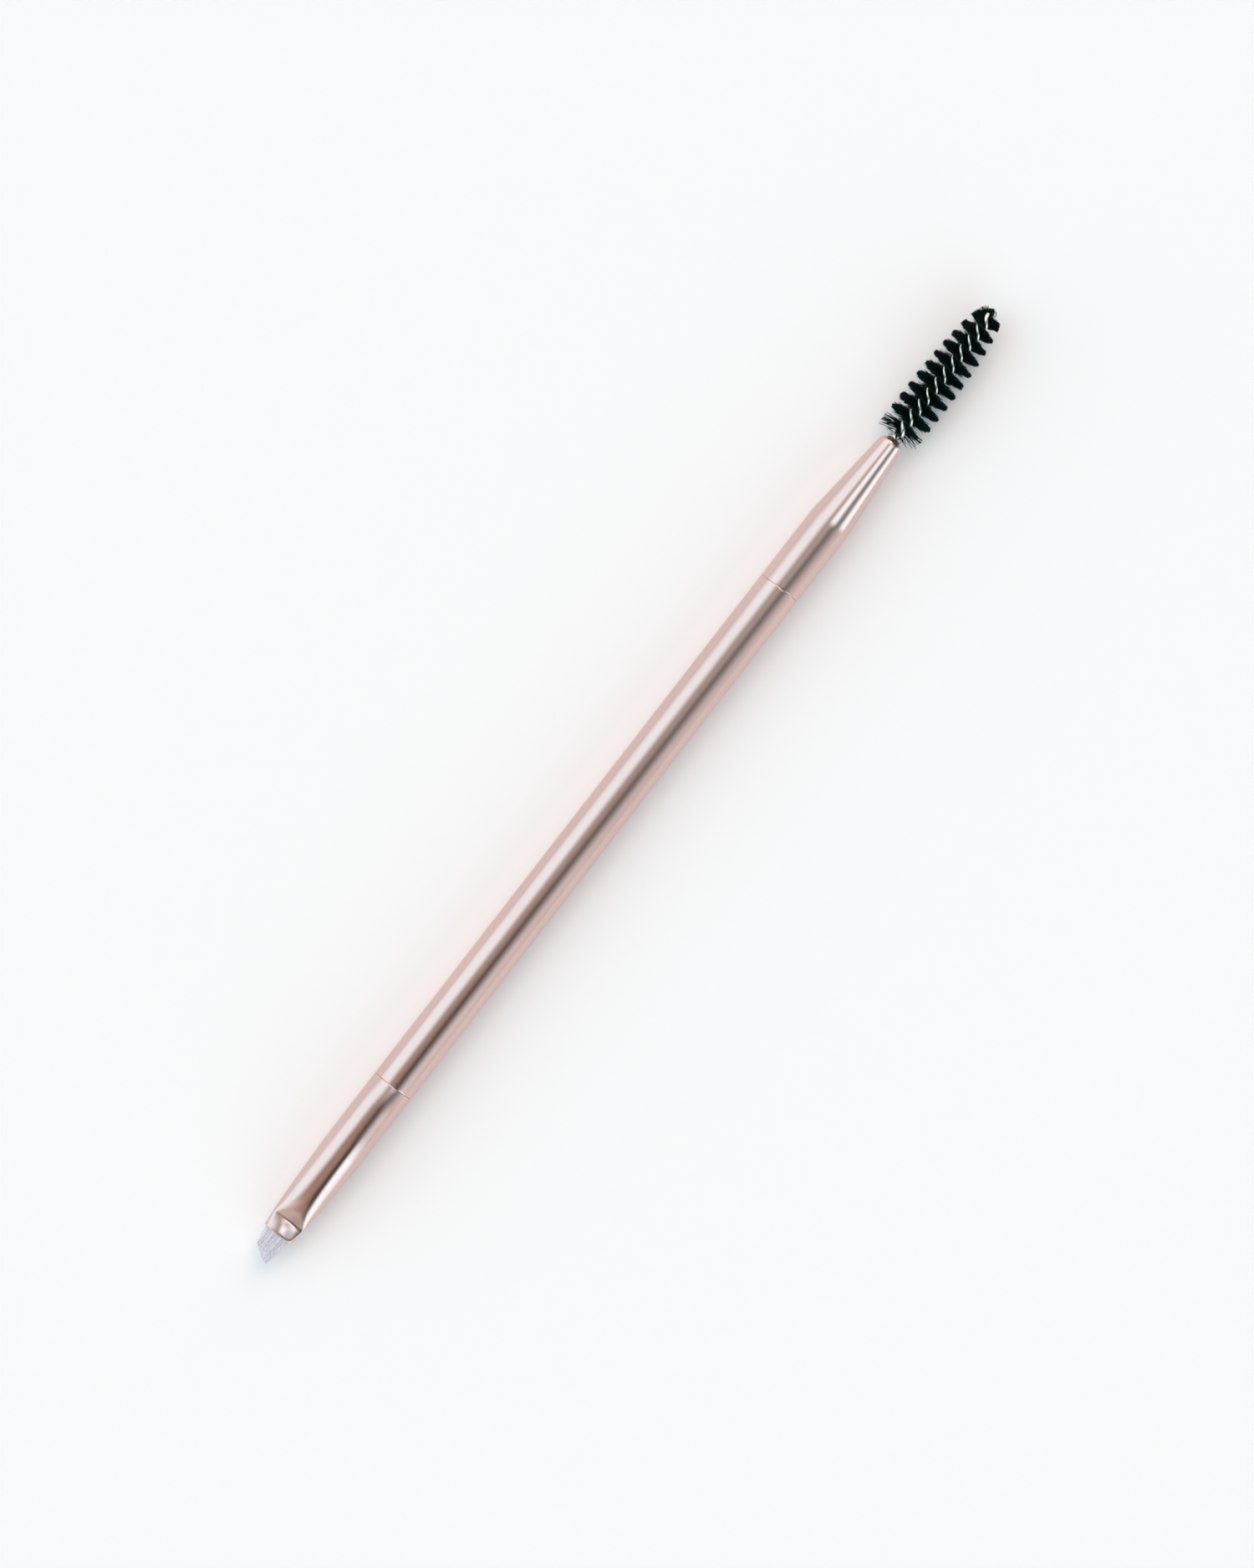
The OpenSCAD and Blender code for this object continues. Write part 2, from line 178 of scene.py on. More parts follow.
class Finish:
    """A material whose node tree is filled in a line at a time."""

    def __init__(self, name):
        self.material = bpy.data.materials.new(name)
        self.material.use_nodes = True
        self.tree = self.material.node_tree
        self.surface = self.tree.nodes["Principled BSDF"]

    def add(self, kind, **settings):
        return add_node(self.tree, kind, **settings)

    def link(self, source, target):
        """Joins an output to an input."""
        self.tree.links.new(source, target)

    def set(self, **sockets):
        """Sets the surface's own sockets, with _ in place of a space."""
        for name, value in sockets.items():
            self.surface.inputs[name.replace("_", " ")].default_value = value

    def position(self, scale, centre=(0.0, 0.0, 0.0)):
        """Object coordinates, moved so that centre is the origin and then scaled."""
        coords = self.add("ShaderNodeTexCoord")
        mapping = self.add("ShaderNodeMapping")
        mapping.inputs["Scale"].default_value = scale
        mapping.inputs["Location"].default_value = [-s * c for s, c in zip(scale, centre)]
        self.link(coords.outputs["Object"], mapping.inputs["Vector"])
        return mapping.outputs["Vector"]

    def noise(self, vector, scale, detail=2.0, roughness=0.5):
        """Soft random variation from 0 to 1."""
        node = self.add("ShaderNodeTexNoise")
        node.inputs["Scale"].default_value = scale
        node.inputs["Detail"].default_value = detail
        node.inputs["Roughness"].default_value = roughness
        self.link(vector, node.inputs["Vector"])
        return node.outputs["Fac"]

    def ramp(self, factor, stops):
        """A colour that a factor picks from (place, colour) stops."""
        node = self.add("ShaderNodeValToRGB")
        fill_ramp(node.color_ramp, stops)
        self.link(factor, node.inputs["Fac"])
        return node.outputs["Color"]

    def spread(self, factor, low, high, from_low=0.0, from_high=1.0):
        """A factor spread from one range onto another."""
        node = self.add("ShaderNodeMapRange")
        for socket, value in (("From Min", from_low), ("From Max", from_high),
                              ("To Min", low), ("To Max", high)):
            node.inputs[socket].default_value = value
        self.link(factor, node.inputs["Value"])
        return node.outputs["Result"]

    def bump(self, height, distance):
        """Relief in the surface, with its depth in metres."""
        node = self.add("ShaderNodeBump")
        node.inputs["Strength"].default_value = 1.0
        node.inputs["Distance"].default_value = distance
        self.link(height, node.inputs["Height"])
        self.link(node.outputs["Normal"], self.surface.inputs["Normal"])


def add_node(tree, kind, **settings):
    """A new node, with its settings given by name."""
    node = tree.nodes.new(kind)
    for name, value in settings.items():
        setattr(node, name, value)
    return node


def fill_ramp(ramp, stops):
    """Sets a colour ramp's stops from (place, colour) pairs."""
    while len(ramp.elements) < len(stops):
        ramp.elements.new(1.0)
    for element, (place, rgb) in zip(ramp.elements, stops):
        element.position = place
        element.color = (*rgb, 1.0)


def shade(rgb, share):
    """The colour made darker or lighter."""
    return [c * share for c in rgb]


def shades(rgb, low, high):
    """Ramp stops that vary a colour between two shares of itself."""
    return [(0.3, shade(rgb, low)), (0.7, shade(rgb, high))]


def rose_metal(settings):
    """Satin rose-gold aluminium: a fine grain, with slow cloudiness in its colour and satin."""
    finish = Finish("rose_metal")
    finish.set(Metallic=1.0)
    cloud = finish.noise(finish.position((60.0, 250.0, 250.0)), 1.0, 3.0)
    finish.link(finish.ramp(cloud, shades(settings.tint, 0.97, 1.03)),
                finish.surface.inputs["Base Color"])
    grain = finish.noise(finish.position(UNSCALED), 1.0 / settings.grain, 2.0, 0.6)
    satin = finish.spread(grain, settings.roughness - 0.03, settings.roughness + 0.03)
    finish.link(satin, finish.surface.inputs["Roughness"])
    finish.bump(grain, 0.004 * MM)
    return finish.material


def pale_filament(settings):
    """Pale nylon with fine streaks along the fibres."""
    finish = Finish("pale_filament")
    finish.set(Roughness=0.38, Subsurface_Weight=0.15, Subsurface_Scale=0.3 * MM)
    streak = finish.noise(finish.position((300.0, 9000.0, 9000.0)), 1.0, 2.0)
    finish.link(finish.ramp(streak, shades(settings.tint, 0.86, 1.1)),
                finish.surface.inputs["Base Color"])
    finish.bump(streak, 0.004 * MM)
    return finish.material


def dark_filament(settings):
    """Near-black nylon with a green cast, with a painted highlight that makes it paler towards the
    trimmed ends.
    """
    finish = Finish("dark_filament")
    finish.set(Roughness=0.6, Specular_IOR_Level=0.06)
    # Painted highlight: the colour turns paler from 1.2 mm to 3.2 mm out from the wire's axis,
    # towards the trimmed ends.
    across = finish.position((0.0, 1.0, 1.0), (0.0, 0.0, AXIS_Z))
    reach = finish.add("ShaderNodeVectorMath", operation="LENGTH")
    finish.link(across, reach.inputs[0])
    share = finish.spread(reach.outputs["Value"], 0.0, 1.0, 1.2 * MM, 3.2 * MM)
    tips = finish.ramp(share, [(0.0, settings.tint), (1.0, settings.painted_tip_highlight)])
    speck = finish.noise(finish.position(UNSCALED), 5000.0, 1.0)
    mix = finish.add("ShaderNodeMix", data_type="RGBA", blend_type="MULTIPLY")
    mix.inputs["Factor"].default_value = 0.5
    finish.link(tips, mix.inputs["A"])
    finish.link(finish.ramp(speck, shades((1.0, 1.0, 1.0), 0.5, 1.0)), mix.inputs["B"])
    finish.link(mix.outputs["Result"], finish.surface.inputs["Base Color"])
    finish.bump(speck, 0.003 * MM)
    return finish.material


def steel_wire(settings):
    """Bare steel wire with drawing marks along the strands."""
    finish = Finish("steel_wire")
    finish.set(Metallic=1.0)
    marks = finish.noise(finish.position((1500.0, 6000.0, 6000.0)), 1.0, 2.0)
    finish.link(finish.ramp(marks, shades(settings.wire_tint, 0.8, 1.0)),
                finish.surface.inputs["Base Color"])
    finish.link(finish.spread(marks, 0.16, 0.3), finish.surface.inputs["Roughness"])
    finish.bump(marks, 0.006 * MM)
    return finish.material


def moulded(name, low, high, roughness, scale):
    """Moulded or cast plastic whose colour is a little uneven."""
    finish = Finish(name)
    finish.set(Roughness=roughness)
    uneven = finish.noise(finish.position(UNSCALED), scale, 3.0)
    finish.link(finish.ramp(uneven, [(0.3, low), (0.7, high)]), finish.surface.inputs["Base Color"])
    finish.bump(uneven, 0.005 * MM)
    return finish.material


# Mesh helpers

def lathe(profile, steps):
    """A closed (x, radius) outline turned about the handle's axis."""
    bm = bmesh.new()
    points = [bm.verts.new((x, 0.0, AXIS_Z + r)) for x, r in profile]
    outline = [bm.edges.new(pair) for pair in zip(points, points[1:] + points[:1])]
    bmesh.ops.spin(bm, geom=points + outline, cent=(0.0, 0.0, AXIS_Z), axis=(1.0, 0.0, 0.0),
                   dvec=(0.0, 0.0, 0.0), angle=TAU, steps=steps, use_merge=True,
                   use_duplicate=False)
    return bm


def round_rim(bm, x, radius, size, segments):
    """Rounds the circular edge at one station and radius."""
    def on_rim(vert):
        out = math.hypot(vert.co.y, vert.co.z - AXIS_Z)
        return abs(vert.co.x - x) < 1e-7 and abs(out - radius) < 1e-7

    rim = [e for e in bm.edges if on_rim(e.verts[0]) and on_rim(e.verts[1])]
    if not rim:
        raise RuntimeError(f"no rim at x {x:.5f}, radius {radius:.5f}")
    bmesh.ops.bevel(bm, geom=rim, offset=size, offset_type="OFFSET", affect="EDGES",
                    segments=segments, profile=0.5, material=-1, clamp_overlap=False)


def cut_rings(bm, first_x, last_x, count):
    """Cuts rings across a turned piece, so that its shading stays true between its ends."""
    for k in range(count + 1):
        bmesh.ops.bisect_plane(bm, geom=bm.verts[:] + bm.edges[:] + bm.faces[:], dist=1e-8,
                               plane_co=(blend(first_x, last_x, k / count), 0.0, 0.0),
                               plane_no=(1.0, 0.0, 0.0))


def loft(bm, sections):
    """Skins rings of points, each extruded from the last, and returns the end rings' edges."""
    ring = bmesh.ops.create_circle(bm, segments=len(sections[0]), radius=HANDLE_R)["verts"]
    for vert, point in zip(ring, sections[0]):
        vert.co = point
    first = ring_edges(bm, ring)
    last = first
    for section in sections[1:]:
        grown = bmesh.ops.extrude_edge_only(bm, edges=last)["geom"]
        fresh = {item for item in grown if isinstance(item, bmesh.types.BMVert)}
        ring = [next(e.other_vert(v) for e in v.link_edges if e.other_vert(v) in fresh)
                for v in ring]
        for vert, point in zip(ring, section):
            vert.co = point
        last = ring_edges(bm, ring)
    return first, last


def ring_edges(bm, ring):
    """The edges that join a ring's vertices."""
    return [bm.edges.get(pair) for pair in zip(ring, ring[1:] + ring[:1])]


def make_piece(bm, name, material, crease_angle=35.0):
    """Turns a bmesh into a smooth piece at the origin, with its true corners left sharp."""
    bmesh.ops.remove_doubles(bm, verts=bm.verts, dist=1e-8)
    bmesh.ops.recalc_face_normals(bm, faces=bm.faces)
    for face in bm.faces:
        face.smooth = True
    for edge in bm.edges:
        edge.smooth = edge.calc_face_angle(0.0) < math.radians(crease_angle)
    mesh = bpy.data.meshes.new(name)
    bm.to_mesh(mesh)
    bm.free()
    piece = bpy.data.objects.new(name, mesh)
    bpy.context.scene.collection.objects.link(piece)
    mesh.materials.append(material)
    return piece


def make_strands(name, material, radius, resolution):
    """An empty curve whose splines become round strands."""
    curve = bpy.data.curves.new(name, "CURVE")
    curve.dimensions = "3D"
    curve.bevel_depth = radius
    curve.bevel_resolution = resolution
    curve.use_fill_caps = True
    curve.materials.append(material)
    piece = bpy.data.objects.new(name, curve)
    bpy.context.scene.collection.objects.link(piece)
    return piece


def add_strand(piece, points, shares):
    """One strand through the points, at a share of the piece's radius at each."""
    spline = piece.data.splines.new("POLY")
    spline.points.add(len(points) - 1)
    for target, point, share in zip(spline.points, points, shares):
        target.co = (*point, 1.0)
        target.radius = share
    spline.use_smooth = True


def stand_for(piece, slot, *nodes):
    """The piece rides on the brush and stands for its nodes, which are hidden. The slot is not
    used.
    """
    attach(piece, "root")
    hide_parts(*nodes)


def ease(t):
    """Goes from 0 to 1 with a soft start and end."""
    c = min(1.0, max(0.0, t))
    return c * c * (3.0 - 2.0 * c)


def blend(a, b, t):
    """The value at a share t of the way from a to b."""
    return a + (b - a) * t


# Brow ferrule's form: distances are from the seam, and depth is below the outer skin

def brow_taper(brow, at):
    """How far along the tapered part a station is, from 0 to 1."""
    return max(0.0, at - brow.round_len) / (BROW_FERRULE_LEN - brow.round_len)


def brow_half_w(brow, at):
    """Half the width, which narrows evenly and then faster at the mouth."""
    t = brow_taper(brow, at)
    return blend(HANDLE_R, brow.mouth_w / 2, brow.even_taper * t + (1 - brow.even_taper) * t ** 6)


def brow_press_t(brow, at):
    """Half the thickness that the press leaves: two slopes that meet in the crimp's waist."""
    out = at - (BROW_FERRULE_LEN - brow.crimp_back)
    flare = (brow.mouth_t - brow.crimp_t) / 2 / brow.crimp_back
    slope = blend(-brow.pinch_slope, flare, 0.5 + 0.5 * out / math.hypot(out, brow.waist_soft))
    return brow.crimp_t / 2 + slope * out


def brow_section(brow, at, depth, steps):
    """A ring of points: an oval whose top and bottom the press has flattened."""
    squareness, roll_reach, facet_end, least_t = 4.0, 2.0 * MM, 0.6 * MM, 0.15 * MM
    half_w = brow_half_w(brow, at) - depth
    half_t = blend(HANDLE_R, brow.cone_t / 2, brow_taper(brow, at)) - depth
    press = brow_press_t(brow, at) - depth
    at_mouth = ease((at - BROW_FERRULE_LEN + brow.crimp_back + facet_end) / brow.crimp_back)
    bow = blend(1 / brow.facet_r, 1 / brow.mouth_r, at_mouth)
    points = []
    for i in range(steps):
        y, z = half_w * math.cos(TAU * i / steps), half_t * math.sin(TAU * i / steps)
        off = y / math.hypot(1.0, y / roll_reach)
        limit = press + math.copysign(brow.press_roll, z) * off - off * off * bow / 2
        z /= (1 + abs(z / max(least_t, limit)) ** squareness) ** (1 / squareness)
        points.append((BROW_SEAM_X - at, y, AXIS_Z + z))
    return points


class BrushOperator(bpy.types.Operator):
    """What the brush's operators share"""
    bl_options = {"REGISTER", "UNDO"}


class BRUSH_OT_handle_tube(BrushOperator):
    """Turn the handle tube, with its ends rounded where the seams are"""
    bl_idname = "brow_brush.handle_tube"
    bl_label = "Handle tube"

    def execute(self, context):
        metal = context.scene.brush_metal
        bore = HANDLE_R - metal.tube_wall
        bm = lathe([(BROW_SEAM_X, bore), (BROW_SEAM_X, HANDLE_R),
                    (SPOOLIE_SEAM_X, HANDLE_R), (SPOOLIE_SEAM_X, bore)], metal.round_steps)
        for x in (BROW_SEAM_X, SPOOLIE_SEAM_X):
            round_rim(bm, x, HANDLE_R, metal.seam_bevel, 4)
        cut_rings(bm, BROW_SEAM_X + RING_CLEAR, SPOOLIE_SEAM_X - RING_CLEAR, 40)
        piece = make_piece(bm, "handle_tube_turned", finishes()["rose_metal"])
        stand_for(piece, "rose_metal", "handle_tube")
        return {"FINISHED"}


class BRUSH_OT_brow_ferrule(BrushOperator):
    """Loft the brow ferrule from its round end to its flat crimped mouth"""
    bl_idname = "brow_brush.brow_ferrule"
    bl_label = "Brow ferrule"

    def execute(self, context):
        metal, brow = context.scene.brush_metal, context.scene.brush_brow
        steps, bevel, lip = metal.round_steps, metal.seam_bevel, brow.mouth_lip
        mouth, waist = BROW_FERRULE_LEN, BROW_FERRULE_LEN - brow.crimp_back
        stations = [blend(bevel, brow.round_len, k / 3) for k in (1, 2)]
        stations += [blend(brow.round_len, mouth - lip, k / 72) for k in range(73)]
        for near in (0.04, 0.1, 0.2, 0.3):
            stations += [waist - near * MM, waist + near * MM]
        corner = [k * TAU / 16 for k in range(4)]
        outer = [brow_section(brow, 0.0, bevel, steps)]
        outer += [brow_section(brow, bevel * (1 - math.sin(a)), bevel * (1 - math.cos(a)), steps)
                  for a in reversed(corner[:3])]
        outer += [brow_section(brow, at, 0.0, steps) for at in sorted(stations)]
        outer += [brow_section(brow, mouth - lip * (1 - math.sin(a)), lip * (1 - math.cos(a)),
                               steps) for a in corner[1:]]
        outer.append(brow_section(brow, mouth, lip, steps))
        inner = [brow_section(brow, mouth * (1 - k / 24), metal.ferrule_wall, steps)
                 for k in range(25)]
        bm = bmesh.new()
        first, last = loft(bm, outer + inner)
        bmesh.ops.bridge_loops(bm, edges=first + last)
        piece = make_piece(bm, "brow_ferrule_pressed", finishes()["rose_metal"])
        stand_for(piece, "rose_metal", "brow_ferrule")
        return {"FINISHED"}


class BRUSH_OT_brow_bristles(BrushOperator):
    """Set the brow fibres in the mouth and trim them on a slant"""
    bl_idname = "brow_brush.brow_bristles"
    bl_label = "Brow bristles"

    def execute(self, context):
        metal, brow = context.scene.brush_metal, context.scene.brush_brow
        rng = random.Random(11)
        piece = make_strands("brow_fibres", finishes()["pale_filament"], brow.fibre_d / 2, 0)
        inset = metal.ferrule_wall + brow.fibre_d / 2
        golden, rim_points = math.pi * (3 - math.sqrt(5)), 96
        mouth = brow_section(brow, BROW_FERRULE_LEN, inset, rim_points)
        for k in range(brow.fibres):
            rho = math.sqrt((k + 0.5) / brow.fibres)
            spot = mouth[int(k * golden % TAU / TAU * rim_points)]
            u, v = rho * spot[1] / (brow.mouth_w / 2 - inset), rho * (spot[2] - AXIS_Z)
            u = max(-1.0, min(1.0, u + rng.gauss(0, 0.012)))
            self.add_fibre(piece, brow, inset, rng, u, v)
        stand_for(piece, "pale_filament", "brow_bristles")
        return {"FINISHED"}

    def add_fibre(self, piece, brow, inset, rng, u, v):
        """One fibre, u of the half width across the mouth and v above its middle."""
        across = (u + 1) / 2
        end_x = BROW_TIP_X + brow.slant * across ** 1.3 + abs(rng.gauss(0, brow.uneven))
        mouth_y = u * (brow.mouth_w / 2 - inset)
        end_y = brow.edge_off + u * brow.edge_w / 2
        wave = rng.gauss(0, 0.02) * MM
        thinning = brow.edge_t / (brow.mouth_t - 2 * inset)
        groove = brow.flute_depth * (1 + math.cos(TAU * brow.flutes * across)) / 2
        points, shares = [], []
        for out in (-0.35, 0.0, 0.25, 0.5, 0.75, 1.0):
            grown = max(0.0, out)
            spread = blend(1.0, thinning, grown ** 1.1) + min(0.0, out)
            y = blend(mouth_y, end_y, grown ** 1.8) + wave * grown
            z = AXIS_Z + v * spread * (1 - groove * math.sin(math.pi * grown))
            points.append((blend(BROW_MOUTH_X, end_x, out), y, z))
            shares.append(blend(1.0, 0.5, grown))
        add_strand(piece, points, shares)


class BRUSH_OT_spoolie_ferrule(BrushOperator):
    """Turn the spoolie ferrule, with its blended cone and its rolled nose"""
    bl_idname = "brow_brush.spoolie_ferrule"
    bl_label = "Spoolie ferrule"

    def execute(self, context):
        metal, spoolie = context.scene.brush_metal, context.scene.brush_spoolie
        wall, corner_x = metal.ferrule_wall, SPOOLIE_SEAM_X + spoolie.round_len
        nose_r, hole_r = spoolie.nose_d / 2, spoolie.nose_hole_d / 2
        lip_r = (nose_r - hole_r) / 2
        rolled = 0.98 * lip_r
        angle = math.atan((HANDLE_R - nose_r) / (NOSE_X - lip_r - corner_x))
        inner_x = NOSE_X - 2 * lip_r
        inner_r = HANDLE_R - (inner_x - corner_x) * math.tan(angle) - wall / math.cos(angle)
        bm = lathe([(SPOOLIE_SEAM_X, HANDLE_R - wall), (SPOOLIE_SEAM_X, HANDLE_R),
                    (corner_x, HANDLE_R), (NOSE_X, nose_r), (NOSE_X, hole_r), (inner_x, hole_r),
                    (inner_x, inner_r), (corner_x, HANDLE_R - wall)], metal.round_steps)
        round_rim(bm, SPOOLIE_SEAM_X, HANDLE_R, metal.seam_bevel, 4)
        blend_len = spoolie.cone_blend_r * math.tan(angle / 2)
        round_rim(bm, corner_x, HANDLE_R, blend_len, 8)
        round_rim(bm, NOSE_X, nose_r, rolled, 6)
        round_rim(bm, NOSE_X, hole_r, rolled, 6)
        cut_rings(bm, SPOOLIE_SEAM_X + RING_CLEAR, corner_x - blend_len - RING_CLEAR / 2, 6)
        cut_rings(bm, corner_x + blend_len + RING_CLEAR / 2, NOSE_X - 2 * lip_r, 12)
        piece = make_piece(bm, "spoolie_ferrule_turned", finishes()["rose_metal"])
        stand_for(piece, "rose_metal", "spoolie_ferrule")
        return {"FINISHED"}


def strand_r(spoolie):
    """Distance of a strand's middle from the twisted wire's axis."""
    return (spoolie.wire_d + spoolie.wire_gap) / 2


def fold_x(spoolie):
    """Where the wire's fold begins."""
    return SPOOLIE_TIP_X - spoolie.fold_back - spoolie.wire_d / 2 - strand_r(spoolie)


def fan_angle(spoolie, x):
    """Direction of the bristles at x, as an angle from +Y. The twist dies away before the fold."""
    rate = -TAU / spoolie.pitch
    fade = spoolie.pitch / 5
    start = fold_x(spoolie) - fade
    angle = rate * (min(x, start) - (SPOOLIE_TIP_X - spoolie.last_fin))
    if x > start:
        angle += rate * (x - start) * (1 - (x - start) / (2 * fade))
    return angle


def around(x, radius, angle):
    """A point at x, at a distance and an angle from the handle's axis."""
    return Vector((x, radius * math.cos(angle), AXIS_Z + radius * math.sin(angle)))


class BRUSH_OT_spoolie_wire(BrushOperator):
    """Twist the folded wire that grips the bristles"""
    bl_idname = "brow_brush.spoolie_wire"
    bl_label = "Spoolie wire"

    def execute(self, context):
        spoolie = context.scene.brush_spoolie
        piece = make_strands("spoolie_wire_twisted", finishes()["steel_wire"],
                             spoolie.wire_d / 2, 4)
        reach, radius = fold_x(spoolie), strand_r(spoolie)
        steps = math.ceil((reach - WIRE_START_X) / spoolie.pitch * 24)
        stations = [blend(WIRE_START_X, reach, k / steps) for k in range(steps + 1)]
        points = [around(x, radius, fan_angle(spoolie, x) + TAU / 4) for x in stations]
        across = points[-1] - Vector((reach, 0.0, AXIS_Z))
        for k in range(1, 12):
            turn = math.pi * k / 12
            ahead = Vector((reach + radius * math.sin(turn), 0.0, AXIS_Z))
            points.append(ahead + across * math.cos(turn))
        points += [around(x, radius, fan_angle(spoolie, x) - TAU / 4) for x in reversed(stations)]
        add_strand(piece, points, [1.0] * len(points))
        stand_for(piece, "steel_wire", "spoolie_wire")
        return {"FINISHED"}


class BRUSH_OT_spoolie_bristles(BrushOperator):
    """Grip the dark bristles between the strands and trim them to the spoolie's outline"""
    bl_idname = "brow_brush.spoolie_bristles"
    bl_label = "Spoolie bristles"

    def execute(self, context):
        spoolie = context.scene.brush_spoolie
        rng = random.Random(5)
        radius = spoolie.filament_d / 2
        piece = make_strands("spoolie_filaments", finishes()["dark_filament"], radius, 0)
        start, end = NOSE_X + spoolie.fan_start, fold_x(spoolie) - radius
        count = round((end - start) / spoolie.pitch * spoolie.per_turn)
        for k in range(count):
            if k % spoolie.clump_size == 0:
                clump = rng.gauss(0, spoolie.clump_lean)
            x = blend(start, end, (k + rng.random()) / count)
            self.add_filament(piece, spoolie, x, clump, rng)
        for k in range(spoolie.tuft):
            self.add_tuft(piece, spoolie, rng)
        stand_for(piece, "dark_filament", "spoolie_bristles")
        return {"FINISHED"}

    def add_tuft(self, piece, spoolie, rng):
        """One bristle that lies over the wire's fold and ends near the tip."""
        angle, over = rng.gauss(0.5, 0.9), 0.42 * MM
        end_r = rng.uniform(0.05, 0.9)
        back = (0.6 * end_r ** 2 + abs(rng.gauss(0, 0.1))) * MM
        tip_x = SPOOLIE_TIP_X - back - spoolie.filament_d / 2
        root_x = SPOOLIE_TIP_X - spoolie.fold_back - rng.uniform(0.5, 1.1) * MM
        bulge = over + 0.25 * MM
        points = [around(root_x, over, angle),
                  around(blend(root_x, tip_x, 0.3), bulge, angle),
                  around(blend(root_x, tip_x, 0.65), bulge, angle + rng.gauss(0, 0.1)),
                  around(tip_x, end_r * MM, angle + rng.gauss(0, 0.3))]
        add_strand(piece, points, [1.0, 1.0, 0.9, 0.75])

    def envelope(self, spoolie, x):
        """The spoolie's outline: even along its body, and rounded off towards its tip."""
        blunt = 0.3 * MM
        t = min(1.0, max(0.0, (SPOOLIE_TIP_X - x + blunt) / (spoolie.taper_len + blunt)))
        return spoolie.width / 2 * (1 - (1 - t) ** 2.5) ** (1 / 3)

    def add_filament(self, piece, spoolie, x, clump, rng):
        """One bristle through the wire's axis. The first ones are sparse and wild."""
        base = 1 - ease((x - NOSE_X - spoolie.fan_start) / (0.9 * spoolie.pitch))
        tip = ease((x - fold_x(spoolie)) / (0.25 * spoolie.pitch) + 1)
        if rng.random() < spoolie.thin_base * math.sqrt(base):
            return
        angle, radius = fan_angle(spoolie, x), piece.data.bevel_depth
        curl = rng.gauss(0, spoolie.curl)
        halves = {side: self.half(spoolie, x, angle, side, clump, base, tip, rng)
                  for side in (1, -1)}
        points, shares = [], []
        for share in (-1.0, -0.7, -0.4, 0.0, 0.4, 0.7, 1.0):
            lean, swing, full = halves[1 if share > 0 else -1]
            reach = abs(share)
            turn = angle + swing * reach ** 1.5 + curl * math.sin(math.pi * reach ** 0.6)
            point = around(x + lean * reach ** 1.7, full * share, turn)
            point.x = min(point.x, SPOOLIE_TIP_X - radius)
            point.z = max(point.z, radius)
            points.append(point)
            shares.append(blend(1.0, 0.75, reach ** 3))
        add_strand(piece, points, shares)

    def half(self, spoolie, x, angle, side, clump, base, tip, rng):
        """How far one half leans along the wire and swings round it, and its trimmed length."""
        out, up = side * math.cos(angle), side * math.sin(angle)
        over_fold = (SPOOLIE_TIP_X - fold_x(spoolie)) * tip * (0.55 + 0.45 * out)
        lean = over_fold * rng.uniform(0.3, 1.0) - (0.35 * base + 0.1 * out + 0.33 * up) * MM
        lean += clump + rng.gauss(0, spoolie.lean) + base * rng.gauss(-0.1, 0.4) * MM
        swing = rng.gauss(0, spoolie.swing) + base * rng.gauss(0, 0.3) + tip * rng.gauss(0, 0.4)
        trimmed = 1 - abs(rng.gauss(0, 0.02))
        return lean, swing, self.envelope(spoolie, min(x + lean, SPOOLIE_TIP_X)) * trimmed


class BRUSH_OT_inner_pieces(BrushOperator):
    """Give the dowel, the epoxy and the nose plug their finishes"""
    bl_idname = "brow_brush.inner_pieces"
    bl_label = "Inner pieces"

    def execute(self, context):
        for node, finish in (("brow_plug", "dowel_plastic"), ("brow_epoxy", "amber_epoxy"),
                             ("spoolie_plug", "brown_plug")):
            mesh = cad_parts[node].data
            mesh.materials.clear()
            mesh.materials.append(finishes()[finish])
        return {"FINISHED"}


_finishes = {}


def finishes():
    """The brush's materials, made once."""
    if not _finishes:
        scene = bpy.context.scene
        _finishes.update(
            rose_metal=rose_metal(scene.brush_metal),
            pale_filament=pale_filament(scene.brush_brow),
            dark_filament=dark_filament(scene.brush_spoolie),
            steel_wire=steel_wire(scene.brush_spoolie),
            dowel_plastic=moulded("dowel_plastic", (0.72, 0.68, 0.60), (0.82, 0.78, 0.70),
                                  roughness=0.5, scale=900.0),
            amber_epoxy=moulded("amber_epoxy", (0.50, 0.30, 0.05), (0.62, 0.40, 0.09),
                                roughness=0.15, scale=500.0),
            brown_plug=moulded("brown_plug", (0.055, 0.022, 0.010), (0.16, 0.065, 0.022),
                               roughness=0.3, scale=1800.0),
        )
    return _finishes


